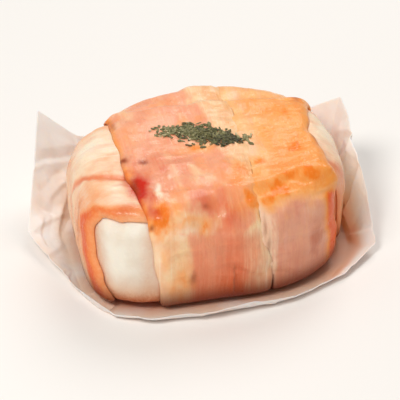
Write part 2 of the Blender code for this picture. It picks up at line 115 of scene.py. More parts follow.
# Bacon
RASHER_THICKNESS = 1.45
TAIL_THICKNESS = 0.9
TAIL_LENGTH = 9.0
TAIL_MOST_SHARE = 0.35
TAIL_RUN = (0.7, 0.82)
EDGE_ROUND = 1.6
EDGE_LEAST = 0.4
EDGE_WAVE = 0.35
EDGE_WAVES = ((23, 1), (-41, 0.6))
THIN_PATCH = 0.22
PATCH_TURNS = (0.55, 19.0)
RAMP = 3.6
OVERLAP = 6.0
SEAM = 0.5
PARTING_RUN = (0.68, 0.78)
NO_TAPER = (1.0, 1.0)
HIDDEN_TAPER = (0.35, 7.0)
LAPPED_TAPER = (0.15, 6.0)
OUTER_TAPER = (0.6, 3.0)
UNDER_HEIGHTS = (2.0, 4.0)
OVER_HEIGHTS = (3.5, 8.0)
UNDER_STEPS = (126, 370)
LEFT_STEPS = (108, 430)
RIGHT_STEPS = (82, 430)
RUN_LENGTH = 57.0
RIM_BULGE = 0.22
SWELL = 0.16
PUCKER = 0.16
CREASES = 0.1
GRAIN = 0.035
BLISTERS = 0.14
# Painted contact shade: each rasher darkens from the first height down to the second
FOOT_SHADE_HEIGHTS = (9.0, 2.0)
CLING = 0.32
CLING_WIDTH = 2.4

# The rashers' long edges, as (run, side) places, and the sides that each wrap spans
UNDER_SIDES = (-27.4, 20.0)
UNDER_FRONT = (
    (-1, -20.5), (-0.9, -22.5), (-0.82, -25.6), (-0.75, -23.6), (-0.67, -20.4), (-0.58, -19.4),
    (-0.5, -20.8), (-0.43, -24.4), (-0.3, -26.6), (0, -22), (0.46, -15.5), (0.75, -12), (1, -8),
)
UNDER_BACK = ((-1, 11), (-0.72, 12.5), (-0.45, 15.5), (0, 15), (0.5, 13.5), (0.75, 11), (1, 8))
OVER_SIDES = (-22.0, 28.4)
OUTER_LEFT = ((-1, -15.5), (-0.8, -16.3), (-0.5, -18.4), (-0.2, -20.3), (0.3, -19.6), (0.6, -18), (1, -15))
OVERLAP_EDGE = ((-1, 9), (-0.8, 9), (-0.5, 6.2), (0, 8.6), (0.5, 8), (0.8, 7), (1, 7))
OUTER_RIGHT = ((-1, 25), (-0.8, 26.3), (-0.5, 25.1), (0, 24.3), (0.4, 26.4), (0.8, 26), (1, 24.5))

# Paper: its edge turns at these places, as degrees round from +X, reach from the middle and height
PAPER_EDGE = (
    (-10, 40, 2.5), (17, 38.2, 15), (41, 42, 21), (50, 38.5, 17), (68, 38.5, 10),
    (88, 39, 7.5), (108, 38, 9.5), (128, 38, 8.5), (142, 38.8, 12.5), (151.5, 44.9, 21),
    (184, 41.2, 2.8), (200, 38, 2.2), (220, 38, 1.6), (240, 40.5, 1.4), (252, 39.3, 1.8),
    (274, 35.5, 2.2), (286, 34.6, 3), (304, 34.8, 1.8), (330, 36.6, 1.4),
)
PAPER_THICKNESS = 0.14
PAPER_STEPS_ROUND = 760
PAPER_FLOOR_RINGS = 8
PAPER_STEPS_UP = 46
PAPER_FOOT_MARGIN = 2.9
PAPER_MEAN_RADIUS = 36.0
PAPER_FOLDS = 90
# Long folds: place round and up, turn from level, half length, gentle and steep widths, height
PAPER_LONG_FOLDS = (
    (14, 10, 1.45, 12, 6, 1.2, 1.5), (21, 9, 1.75, 8, 3, 1.6, -0.8),
    (6, 6, 1.2, 8, 4, 1, 1.2), (-3, 5, 1.9, 6, 3, 1.2, 0.8),
    (9, 5, 0.3, 9, 3, 1.2, 0.7), (26, 8, 1.1, 8, 3, 1.4, 0.8),
)
PAPER_CREASE = 0.5
PAPER_CREASES = 40
PAPER_CREASE_HEIGHT = 8.0
PAPER_CREASE_LEAST = 0.25
PAPER_CURVE_LOW = 1.9
PAPER_CURVE_HIGH = 1.1
PAPER_HIGH = 12.0
PAPER_CRUMPLE = 0.12
# The stain near the cheese, grease with painted contact shadow, and the painted warm reflection in front on
# the right, from nothing to their most
STAIN_AND_SHADE_REACH = (3.8, 0.8)
WARM_REFLECTION_X = (22.0, 30.0)
WARM_REFLECTION_Y = (16.0, 6.0)
WARM_REFLECTION_UP = (0.8, 0.3)

# Herbs: a heap on top, in the frame's axes
LEAF_STEPS = 6
HERB_HEAP = 0.3
HERB_REACH = 2.2
HERB_CLEAR = 0.04
HERB_NEAR = 0.45
# Each heap's middle, spread and turn, its count, and the tones of its flakes
HERBS = (
    ((-3.6, 2.8), (2.7, 2.1), -4, 320, (0.1, 1)),
    ((-9.2, 3.2), (1.7, 1.4), 0, 44, (0.3, 1)),
    ((1.4, 1), (2.4, 1.9), -20, 180, (0, 0.8)),
    ((4.7, -1.6), (1.7, 1.3), 0, 130, (-0.2, 0.4)),
    ((9, 0.2), (1.2, 0.9), 20, 18, (0.7, 1)),
    ((-0.9, 1.1), (5.6, 3), -12, 16, (0, 0.6)),
)

# Camera: the photograph looks down at this angle, from the front
CAMERA_ELEVATION = math.radians(32.0)
CAMERA_DISTANCE = 700.0
CAMERA_TARGET = (-1.2, 0.4, 9.3)
FRAME_WIDTH = 92.0
SENSOR = 36.0
FLOOR_HALF = 3000.0
FLOOR_Z = -0.02
LIGHT_TARGET = (0.0, 0.0, 15.0)


def smooth(x):
    x = np.clip(x, 0.0, 1.0)
    return x * x * (3.0 - 2.0 * x)


def rise(x, start, end):
    """A smooth rise from 0 at the start to 1 at the end."""
    return smooth((x - start) / (end - start))


def bump(angle, middle, width):
    """A rise of 1 at the middle angle, in degrees, that dies away over the width."""
    away = (np.degrees(angle) - middle + 180.0) % 360.0 - 180.0
    return np.exp(-((away / width) ** 2))


def along(x, *points):
    """A smooth curve through (x, value) points."""
    xs, values = np.array(points).T
    step = np.clip(np.searchsorted(xs, x) - 1, 0, len(xs) - 2)
    share = (x - xs[step]) / (xs[step + 1] - xs[step])
    return values[step] + (values[step + 1] - values[step]) * smooth(share)


def turned(points, angle):
    """Points turned about the upright axis."""
    x, y, z = np.moveaxis(points, -1, 0)
    cosine, sine = math.cos(angle), math.sin(angle)
    return np.stack([x * cosine - y * sine, x * sine + y * cosine, z], axis=-1)


def lattice(cells, seed):
    """A number from -1 to 1 for each whole cell, the same at every run."""
    x, y, z = np.moveaxis(cells.astype(np.int64), -1, 0)
    mixed = (x * 73856093) ^ (y * 19349663) ^ (z * 83492791) ^ (seed * 2654435761)
    mixed = (mixed ^ (mixed >> 13)) * 1274126177
    return ((mixed ^ (mixed >> 16)) & 0xFFFF) / 32767.5 - 1.0


def noise(points, seed):
    """Smooth random values from -1 to 1, one unit across."""
    cell = np.floor(points)
    share = smooth(points - cell)
    total = np.zeros(points.shape[:-1])
    for corner in np.ndindex(2, 2, 2):
        weight = np.prod(np.where(np.array(corner) == 1, share, 1.0 - share), axis=-1)
        total += weight * lattice(cell + corner, seed)
    return total


def clouds(points, size, seed, octaves=3):
    """Layers of noise, each half as large and half as strong as the one before."""
    total = 0.0
    for octave in range(octaves):
        total = total + noise(points * 2.0**octave / np.array(size), seed + 7 * octave) / 2.0**octave
    return total


def patches(points, size, seed, from_value, to_value):
    """Soft-edged patches: 0 where the noise is below from_value and 1 above to_value."""
    return rise(clouds(points, size, seed), from_value, to_value)


def cheese_radius(angle):
    """The cheese's plan: a disc pressed square by the rashers, fullest where it is bare in front."""
    power = PLAN_POWER + sum(more * bump(angle, middle, width) for middle, width, more in PLAN_CORNERS)
    across = np.abs(np.cos(angle) / CHEESE_HALF_WIDTH) ** power
    deep = np.abs(np.sin(angle) / CHEESE_HALF_DEPTH) ** power
    bulge = CHEESE_BARE_BULGE * bump(angle, BARE_CORNER, BARE_WIDTH)
    return (across + deep) ** (-1.0 / power) + bulge


def cheese_distance(points):
    """About how far each point lies outside the cheese."""
    u, v, z = np.moveaxis(points, -1, 0)
    angle = np.arctan2(v, u)
    radius = cheese_radius(angle)
    turn = 0.01
    slope = (cheese_radius(angle + turn) - cheese_radius(angle - turn)) / (2.0 * turn * radius)
    out = np.hypot(u, v)
    height = (z - CHEESE_MIDDLE) / (CHEESE_TOP - CHEESE_MIDDLE)
    barrel = CHEESE_BARREL * (1.0 - height**2)
    slump = CHEESE_SLUMP * bump(angle, BARE_CORNER, BARE_WIDTH) * np.clip(0.5 - height, 0.0, 1.5) / 1.5
    beyond = (out - radius - barrel - slump) / np.sqrt(1.0 + slope**2)
    sunken = CHEESE_SUNKEN * rise(out / radius, *CHEESE_SUNKEN_SHARES)
    low = CHEESE_LOW_CORNER * rise(v - u, *CHEESE_LOW_REACH)
    upper = z > CHEESE_MIDDLE
    above = np.where(upper, z - CHEESE_TOP + sunken + low, CHEESE_BOTTOM - z)
    rounding = np.where(upper, CHEESE_TOP_ROUND, CHEESE_FOOT_ROUND)
    side = beyond + rounding
    cap = above + rounding
    corner = np.hypot(np.maximum(side, 0.0), np.maximum(cap, 0.0))
    return corner + np.minimum(np.maximum(side, cap), 0.0) - rounding


def outward(points):
    """Unit vectors straight out of the cheese's skin."""
    reach = 0.05
    moves = np.eye(3) * reach
    slopes = [cheese_distance(points + move) - cheese_distance(points - move) for move in moves]
    normals = np.stack(slopes, axis=-1)
    return normals / np.linalg.norm(normals, axis=-1, keepdims=True)


def skin_along(origin, directions):
    """Where rays from inside the cheese meet its skin, found by halving."""
    near = np.zeros(directions.shape[:-1])
    far = near + RAY_LENGTH
    for _ in range(HALVINGS):
        half = (near + far) / 2
        inside = cheese_distance(origin + directions * half[..., None]) < 0.0
        near = np.where(inside, half, near)
        far = np.where(inside, far, half)
    return origin + directions * near[..., None]


class Wrap:
    """The cheese's skin as upright sections side by side, for the rashers that run along them.

    A place on it is a side, how far its section lies from the middle, and a run: from -1 at the end
    of the left or front tail, over the top's middle at 0, to 1. Axis 0 runs along u, and 1 along v.
    """

    SECTIONS = 90
    RAYS = 360
    RUNS = 200

    def __init__(self, axis, sides):
        self.axis = axis
        self.sides = np.linspace(*sides, self.SECTIONS)
        wholes, (first, last) = zip(*(self.half_sections(sign) for sign in (-1.0, 1.0)))
        self.whole = np.stack(wholes, axis=-1)
        self.path = np.concatenate([first[:, :0:-1], last], axis=1)

    def half_sections(self, sign):
        """Each section's length from the top's middle to its tail's end, and its points at even steps."""
        turn = np.linspace(0.0, math.pi - 0.02, self.RAYS)
        origin = np.zeros((len(self.sides), self.RAYS, 3))
        origin[..., 1 - self.axis] = self.sides[:, None]
        origin[..., 2] = CHEESE_MIDDLE
        directions = np.zeros_like(origin)
        directions[..., self.axis] = sign * np.sin(turn)
        directions[..., 2] = np.cos(turn)
        skin = skin_along(origin, directions)
        whole, path = [], []
        for section in skin:
            out = np.abs(section[:, self.axis])
            widest = int(np.argmax(out))
            gone = out + CHEESE_TOP - section[:, 2]
            gone[widest:] += 2.0 * (out[widest] - out[widest:])
            gone = np.maximum.accumulate(gone - gone[0])
            tail = min(TAIL_LENGTH, TAIL_MOST_SHARE * out[widest])
            end = widest + int(np.argmax(out[widest:] < out[widest] - tail))
            whole.append(gone[end])
            steps = np.linspace(0.0, gone[end], self.RUNS + 1)
            path.append([np.interp(steps, gone[: end + 1], values) for values in section[: end + 1].T])
        return np.array(whole), np.moveaxis(np.array(path), 1, 2)

    def row_of(self, side):
        """The section just before each side, and the share of the way to the next one."""
        place = (side - self.sides[0]) / (self.sides[1] - self.sides[0])
        place = np.clip(place, 0.0, self.SECTIONS - 1.001)
        row = place.astype(int)
        return row, place - row

    def at(self, side, run):
        """The skin's points at these places."""
        row, share = self.row_of(side)
        step = np.clip((run + 1.0) * self.RUNS, 0.0, 2 * self.RUNS - 0.001)
        column = step.astype(int)
        rest = (step - column)[..., None]
        near = self.path[row, column] * (1.0 - rest) + self.path[row, column + 1] * rest
        far = self.path[row + 1, column] * (1.0 - rest) + self.path[row + 1, column + 1] * rest
        return near * (1.0 - share[..., None]) + far * share[..., None]

    def place_of(self, points):
        """The sides and runs of points near the skin of the top and the walls."""
        side = points[..., 1 - self.axis]
        row, share = self.row_of(side)
        whole = self.whole[row] * (1.0 - share[..., None]) + self.whole[row + 1] * share[..., None]
        forward = points[..., self.axis]
        whole = np.where(forward < 0.0, whole[..., 0], whole[..., 1])
        gone = np.abs(forward) + CHEESE_TOP - points[..., 2]
        return side, np.sign(forward) * np.clip(gone / whole, 0.0, 1.0)


@dataclass
class Rasher:
    """A strip of bacon on a wrap, between two edge lines, over whatever is declared beneath it.

    Other rashers lie over it above the second of its heights, and beside it below the first.
    """

    wrap: Wrap
    lines: tuple
    heights: tuple
    beneath: tuple = ()
    tapers: tuple = (NO_TAPER, NO_TAPER)
    seed: float = 0.0

    def wave(self, run, turn):
        waves = sum(share * np.sin(turns * run + turn + self.seed) for turns, share in EDGE_WAVES)
        waves = waves / sum(share for _, share in EDGE_WAVES)
        return EDGE_WAVE * waves * (1.0 - self.tail(run))

    def tail(self, run):
        return rise(np.abs(run), *TAIL_RUN)

    def edges(self, run):
        first, last = (line(run) for line in self.lines)
        return first + self.wave(run, 0.7), last + self.wave(run, 2.9)

    def inside(self, side, run):
        """How far in from the nearer edge."""
        first, last = self.edges(run)
        return np.minimum(side - first, last - side)

    def cover(self, points):
        """How much higher a rasher on top of this one lies at these points."""
        side, run = self.wrap.place_of(points)
        over = rise(points[..., 2], *self.heights) * rise(self.inside(side, run), -RAMP, 0.0)
        return (GAP + self.uneven_body(side, run)) * over

    def body(self, side, run):
        """The thickness before the edges are rounded."""
        thick = RASHER_THICKNESS + (TAIL_THICKNESS - RASHER_THICKNESS) * self.tail(run)
        first, last = self.edges(run)
        share = 1.0
        for (least, width), away in zip(self.tapers, (side - first, last - side)):
            share = share * (least + (1.0 - least) * smooth(away / width))
        return thick * np.maximum(share, self.tail(run))

    def uneven_body(self, side, run):
        across, lengthwise = PATCH_TURNS
        uneven = np.sin(across * side + self.seed) * np.sin(lengthwise * run + self.seed)
        return self.body(side, run) * (1.0 - THIN_PATCH * (0.5 + 0.5 * uneven) * (1.0 - self.tail(run)))

    def thickness(self, side, run):
        from_edge = np.clip(self.inside(side, run) / EDGE_ROUND, 0.0, 1.0)
        rounding = EDGE_LEAST + (1.0 - EDGE_LEAST) * np.sqrt(1.0 - (1.0 - from_edge) ** 2)
        return self.uneven_body(side, run) * rounding

    def place(self, side, run):
        """The inner face's points and the way out from them. The edges cling to what is beneath."""
        points = self.wrap.at(side, run)
        cling = CLING * smooth(1.0 - self.inside(side, run) / CLING_WIDTH) * (1.0 - self.tail(run))
        lift = GAP - cling + sum(other.cover(points) for other in self.beneath)
        out = outward(points)
        return points + out * lift[..., None], out


def strip_place(side, run, seed):
    """A place on the flat strip, in millimetres across and along, for its noise."""
    return np.stack([side, run * RUN_LENGTH, np.full_like(side, 10.0 * seed)], axis=-1)


def marks(strip, places, seed, ragged=0.45):
    """Soft-edged patches on a strip, at (side, run, half width, half length, strength) places."""
    side = strip[..., 0] + ragged * clouds(strip, (2.4, 4, 1), seed)
    lengthwise = strip[..., 1] + 1.3 * ragged * clouds(strip, (3, 4, 1), seed + 1)
    uneven = 1.0 + 0.3 * clouds(strip, (1.5, 2.2, 1), seed + 2)
    total = np.zeros_like(side)
    for at_side, at_run, wide, long, strength in places:
        away = uneven * np.hypot((side - at_side) / wide, (lengthwise - at_run * RUN_LENGTH) / long)
        total = np.maximum(total, strength * np.exp(-0.8 * away**2))
    return total


# What shows on each rasher: patches at (side, run, half width, half length, strength)
LEFT_FAT = (
    (-15.7, 0.36, 1.8, 8, 0.8), (-5.2, -0.23, 0.9, 3.6, 0.8), (-11, -0.495, 7.4, 2.8, 1),
    (-0.6, -0.05, 2.6, 1.5, 0.8), (6.2, -0.15, 1.6, 5, 0.9), (-9.3, -0.42, 1, 1.6, 0.6),
    (-12.6, -0.41, 1.3, 1.6, 0.6),
)
# Painted glints: highlights on the left rasher, painted as pale fat
LEFT_GLINT = ((-14.7, -0.335, 1.1, 3.4, 0.95), (-12.9, -0.365, 0.6, 1.2, 0.5), (-11.4, -0.25, 0.5, 1.5, 0.5))
LEFT_PALE = ((-17, -0.63, 1.3, 9, 0.35), (-10.5, -0.525, 5, 1.1, 0.6))
LEFT_BROWN = (
    (-17.2, 0.08, 1.6, 3.4, 0.35), (-3.4, -0.05, 2.4, 1.4, 0.9), (-1.5, -0.065, 6.5, 1.6, 0.55),
    (-19.3, -0.19, 1, 2.6, 0.6), (5, -0.28, 3.2, 4, 0.95), (5.3, -0.42, 2.6, 2.6, 1.1),
    (-15.6, -0.47, 2.8, 2.6, 1.25), (-12.4, -0.44, 1.8, 1.4, 0.7), (-6, -0.51, 2.6, 1.4, 0.8),
    (-12, -0.485, 6.4, 1.1, 0.6), (3, -0.44, 3.2, 2.6, 0.6), (-11.4, -0.73, 2, 4, 0.7),
    (-15.2, -0.62, 1.2, 3.6, 0.4),
)
# The first red patch is the gap under the lifted left edge: red lean darkened as painted shadow
LEFT_RED = (
    (-18.8, -0.285, 2.4, 4.6, 1.4), (-16.7, -0.25, 1.5, 4.2, 0.5), (-17, -0.44, 1.8, 1.5, 0.7),
    (-11.8, -0.2, 1.2, 1.6, 0.3), (-1.4, -0.46, 3.4, 4.2, 0.35), (-5, -0.42, 2.6, 2.6, 0.36),
)
LEFT_DEEP = (
    (-1, -0.47, 3, 4.4, 0.8), (-5.6, -0.42, 2.8, 3.4, 0.6), (-8.5, -0.33, 2.2, 3.4, 0.4),
    (-13, -0.12, 2.6, 3.8, 0.6), (-9, -0.18, 8, 5.5, 0.5), (-16, -0.36, 2.6, 5, 0.7),
)
# Dark specks; the first is the painted shadow in the gap under the lifted left edge
LEFT_DARK = (
    (-19.5, -0.28, 0.9, 2.8, 0.8), (-15.7, -0.12, 0.8, 0.8, 0.85), (-19.7, -0.08, 0.8, 1.1, 0.95),
    (-5.5, -0.43, 0.6, 0.5, 0.5), (-9.3, -0.73, 0.6, 1.2, 0.6), (-19, 0.24, 0.5, 3, 0.5),
    (-18, -0.5, 0.5, 0.7, 0.7),
)
# Hollows: where a rasher's face sinks between its folds
LEFT_HOLLOWS = ((-18.8, -0.28, 1.3, 3.6, 0.4), (-12.5, -0.39, 1.4, 2, 0.25), (-4, -0.36, 2, 2.4, 0.25))
RIGHT_FAT = ((9, -0.12, 1.4, 6.5, 1), (18.3, -0.49, 1.7, 3, 0.4), (11, 0.34, 1.2, 2.4, 0.9))
RIGHT_LEAN = (
    (12.1, 0.12, 1, 5.5, 0.4), (12, 0.215, 3, 1.4, 0.45), (14, 0.4, 0.6, 6, 0.35),
    (17, 0.38, 0.8, 6, 0.35), (13.5, -0.55, 5, 3, 0.6),
)
RIGHT_BROWN = (
    (19.6, 0.14, 2.6, 3.2, 0.95), (18.6, -0.15, 3, 2.8, 1.2), (19.6, -0.34, 3.4, 2.3, 1.2),
    (15.4, -0.33, 3.4, 1.6, 1), (11.8, -0.4, 4.8, 2.8, 1.25), (10.6, -0.225, 3.4, 2.2, 1),
    (4.5, -0.26, 2.4, 4, 1), (6.5, -0.45, 5.2, 2.2, 1.05), (23, -0.1, 0.8, 8, 0.6),
)
RIGHT_DEEP = ((19.4, -0.66, 1.5, 5, 0.9), (15, -0.72, 3.4, 5, 0.5))
# Painted shadows: dark lines along the seam on the front, and in the gap along the right edge
RIGHT_DARK = (
    (7, -0.54, 0.35, 2.2, 0.5), (7.9, -0.62, 0.35, 2, 0.5), (23.6, 0.3, 0.6, 3, 0.6),
    (24.3, -0.06, 0.3, 6, 0.5),
)
UNDER_PALE = (
    (-20, -0.39, 3.6, 1.6, 0.7), (-14.5, -0.385, 2.2, 1.6, 0.8), (-12.5, -0.525, 3.2, 1, 1),
    (5, -0.43, 6, 4.5, 0.9), (3, 0.48, 7, 3, 0.8),
)
UNDER_RED = ((-15.5, -0.315, 5, 1.5, 1), (-22.8, -0.38, 1.2, 3, 0.3))
UNDER_BROWN = (
    (-12.8, -0.62, 4, 10, 0.95), (-19, -0.62, 2.4, 4, 0.55), (-17.5, -0.72, 2.2, 4, 0.8),
    (-21.5, -0.5, 1.6, 2.4, 0.5),
)
# Where the lean of the left rasher lies between its fat, and the lean streak of the lower one
LEAN_LOW = ((-1, -9.6), (-0.6, -10.3), (-0.54, -10.5), (-0.48, -26), (0.4, -24), (0.75, -10), (1, -8))
LEAN_HIGH = (
    (-1, 1.8), (-0.56, 1.8), (-0.5, 6), (-0.4, 7.5), (-0.3, 4.2), (-0.2, 4.2), (-0.1, 5.2),
    (0, 3.4), (0.1, 2), (0.3, 0.4), (0.5, -0.5), (1, 2),
)
STREAK_MIDDLE = (
    (-1, 1), (-0.72, -1), (-0.6, -3), (-0.5, -5.6), (-0.46, -8), (-0.42, -9.6),
    (-0.32, -11), (-0.2, -11.5), (0.3, -13), (1, -9),
)
STREAK_HALF = ((-1, 2), (-0.6, 0.6), (-0.5, 1.2), (-0.38, 1.5), (0, 3), (0.5, 2.6), (1, 3))


def left_looks(strip, side, run):
    warped = side + 0.8 * clouds(strip, (5, 13, 1), 21) + 0.3 * clouds(strip, (1.4, 6, 1), 22)
    low, high = along(run, *LEAN_LOW), along(run, *LEAN_HIGH)
    front = rise(-run, 0.5, 0.58)
    on_top = rise(np.abs(run), 0.5, 0.44)
    lean = smooth((warped - low) / 4.2 + 0.5) * smooth((high - warped) / 3.2 + 0.5)
    bands = patches(strip, (1.1, 40, 1), 23, 0.2, 0.9)
    pale = patches(strip, (3.2, 5.5, 1), 24, 0.2, 1.0) * on_top
    fat = 1.0 - lean * (1.0 - 0.2 * bands) * (1.0 - 0.42 * pale)
    # The painted glints are laid in as fat
    fat = np.maximum(fat, marks(strip, LEFT_GLINT + LEFT_FAT, 25))
    by_seam = front * smooth(side / 2.0)
    fat = fat * (1.0 - by_seam * (0.6 - 0.22 * rise(side, 4.0, 7.0)))
    toasted = 0.34 * patches(strip, (3.4, 4, 1), 26, 0.0, 1.0) + 0.3 * rise(side, 2.0, 8.0)
    toasted = np.minimum(toasted + 0.4 * rise(-run, 0.24, 0.29) * rise(side, -4.0, 2.0), 0.74)
    # Painted shade: the lean on the front wall is deepened, more towards the bottom and towards the seam
    deep = front * (0.4 + 0.3 * rise(side, -5.0, 0.0) + 0.3 * rise(-run, 0.56, 0.78))
    return {
        "fat": fat,
        # pale: pale fat, and on this rasher the painted glints
        "pale": np.maximum(marks(strip, LEFT_GLINT + LEFT_PALE, 25), 0.14 * by_seam),
        "brown": np.maximum(marks(strip, LEFT_BROWN, 27, 0.9), toasted * on_top),
        "deep": np.maximum(marks(strip, LEFT_DEEP, 29), deep),
        "red": marks(strip, LEFT_RED, 28),
        "dark": marks(strip, LEFT_DARK, 31, 0.2),
        "hollow": marks(strip, LEFT_HOLLOWS, 30),
    }


def right_looks(strip, side, run):
    warped = side + 0.8 * clouds(strip, (5, 13, 1), 33) + 0.3 * clouds(strip, (1.4, 6, 1), 34)
    on_top = smooth((0.51 + 0.04 * clouds(strip, (3, 5, 1), 35) - np.abs(run)) / 0.1)
    lean = smooth((warped - 9.4) / 2.6 + 0.5)
    bands = patches(strip, (0.9, 40, 1), 36, 0.1, 0.9)
    columns = 0.55 * patches(strip, (0.8, 30, 1), 38, 0.0, 0.8) * rise(warped, 11.0, 9.0)
    lean = np.maximum(lean * (1.0 - 0.2 * bands), columns) * (1.0 - on_top)
    lean = np.maximum(lean, marks(strip, RIGHT_LEAN, 39))
    general = 0.34 + 0.34 * rise(warped, 10.5, 14.5) + 0.16 * clouds(strip, (4, 5, 1), 41)
    general = general * (1.0 - 0.5 * rise(run, 0.24, 0.36))
    general = np.minimum(general + 0.34 * rise(-run, 0.2, 0.28), 0.78)
    fat_marks = marks(strip, RIGHT_FAT, 43)
    brown = np.maximum(marks(strip, RIGHT_BROWN, 45, 1.1), general * (1.0 - 0.9 * fat_marks))
    # Painted shade: the lean on the walls is deepened lower down the front
    deep = 0.5 * (1.0 - on_top) * rise(-run, 0.6, 0.8)
    return {
        "fat": np.maximum(1.0 - lean, fat_marks),
        "pale": np.maximum(0.5 * fat_marks, 0.7 * (1.0 - on_top)),
        "brown": brown * on_top,
        "deep": np.maximum(marks(strip, RIGHT_DEEP, 47), deep),
        "dark": marks(strip, RIGHT_DARK, 49, 0.2),
    }


def under_looks(strip, side, run):
    warped = side + 0.5 * clouds(strip, (5, 9, 1), 51) + 0.2 * clouds(strip, (1.4, 5, 1), 52)
    middle, half = along(run, *STREAK_MIDDLE), along(run, *STREAK_HALF)
    lean = 0.95 * np.exp(-(((warped - middle) / (half + 0.3)) ** 2))
    blush = (0.34 + 0.2 * rise(-run, 0.5, 0.6)) * patches(strip, (4, 7, 1), 53, -0.2, 0.9)
    return {
        "fat": 1.0 - np.maximum(lean, blush),
        "pale": marks(strip, UNDER_PALE, 55, 0.8),
        "brown": marks(strip, UNDER_BROWN, 57, 0.6),
        "deep": 0.7 * lean * rise(run, -0.62, -0.47),
        "red": marks(strip, UNDER_RED, 59),
        "hollow": 0.3 * lean,
    }


# How browned each rasher's first and last edges are at (run, strength) places, how far in, and how wide
EDGES = {
    "bacon_side_to_side": (
        ((-1, 1), (-0.58, 1), (-0.5, 0.7), (-0.42, 0.6), (-0.3, 0.5), (0, 0.3), (1, 0.5)),
        ((-1, 0.3), (1, 0.3)),
        ((-1, 3.3), (-0.57, 3.3), (-0.5, 2), (1, 2)),
        2.1,
    ),
    "bacon_left": (
        ((-1, 0.1), (-0.52, 0.1), (-0.46, 0.5), (-0.2, 0.6), (-0.1, 0.3), (0.1, 0.4), (0.3, 0.6), (1, 0.6)),
        ((-1, 0.1), (-0.66, 0), (1, 0)),
        ((-1, 0), (1, 0)),
        0.9,
    ),
    "bacon_right": (
        ((-1, 0.1), (1, 0.1)),
        ((-1, 0.7), (-0.7, 1), (-0.48, 1), (-0.42, 0.3), (0, 0.4), (0.2, 0.5), (1, 0.5)),
        ((-1, 2), (1, 2)),
        1.8,
    ),
}


def edge_browning(name, rasher, side, run):
    """From 0 to 1, strongest some way in from the edge."""
    first, last = rasher.edges(run)
    *strengths, inset_places, width = EDGES[name]
    inset = along(run, *inset_places)
    total = np.zeros_like(side)
    for strength, away in zip(strengths, (side - first, last - side)):
        peak = np.exp(-(((away - inset) / width) ** 2))
        peak = np.where(away < inset, 0.45 + 0.55 * peak, peak)
        total = np.maximum(total, along(run, *strength) * peak)
    return total


def relief(rasher, strip, side, run, shares, seed):
    """How far the outer face stands proud or sinks: fat swells, lean shrinks, and both pucker."""
    fat = shares["fat"]
    swell = SWELL * (fat - 0.5) - shares["hollow"]
    pucker = PUCKER * clouds(strip, (7, 3.2, 1), 51 + seed)
    creases = CREASES * (1.0 - 2.2 * np.abs(noise(strip / (9, 3.6, 1), 61 + seed)))
    grain = GRAIN * clouds(strip, (0.55, 6, 1), 71 + seed, 2) * (1.0 - 0.5 * fat)
    blisters = BLISTERS * patches(strip, (1.3, 1.3, 1), 81 + seed, 0.25, 0.9) * (0.25 + shares["brown"])
    inner = 0.25 + 0.75 * smooth(rasher.inside(side, run) / EDGE_ROUND)
    return (swell + pucker + creases + grain + blisters) * inner * (1.0 - rasher.tail(run))


def quads(first, around, rings, reverse=False):
    """The faces between closed rings of points that follow one another."""
    faces = []
    for start in range(first, first + (rings - 1) * around, around):
        for k in range(around):
            after = (k + 1) % around
            a, b, c, d = start + k, start + after, start + around + after, start + around + k
            faces.append((a, d, c, b) if reverse else (a, b, c, d))
    return faces


def linked(name, data):
    """A new object with these data, in the scene."""
    made = bpy.data.objects.new(name, data)
    bpy.context.scene.collection.objects.link(made)
    return made


def new_object(name, points, faces):
    mesh = bpy.data.meshes.new(name)
    mesh.from_pydata((points * MM).tolist(), [], faces)
    mesh.update()
    mesh.shade_smooth()
    return linked(name, mesh)


def stand_in(made, *nodes):
    """Shows a piece in place of the row's nodes, attached to the body."""
    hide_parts(*nodes)
    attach(made, BODY)
    return made


def give(made, name, values):
    """A value for each of the mesh's points, which its material reads."""
    values = np.asarray(values, np.float32)
    kind, field = ("FLOAT", "value") if values.ndim == 1 else ("FLOAT_VECTOR", "vector")
    made.data.attributes.new(name, kind, "POINT").data.foreach_set(field, values.ravel())


def kept_in(points):
    """The points, none of them beyond the row's box."""
    return np.clip(points, *(np.array(cad_box) / MM))


def facing_out(points, faces):
    """The faces, all turned round if they enclose the points inside out."""
    corners = points[np.array([face[:3] for face in faces if len(face) == 4])]
    volume = np.einsum("ij,ij->i", corners[:, 0], np.cross(corners[:, 1], corners[:, 2])).sum()
    return faces if volume > 0.0 else [face[::-1] for face in faces]


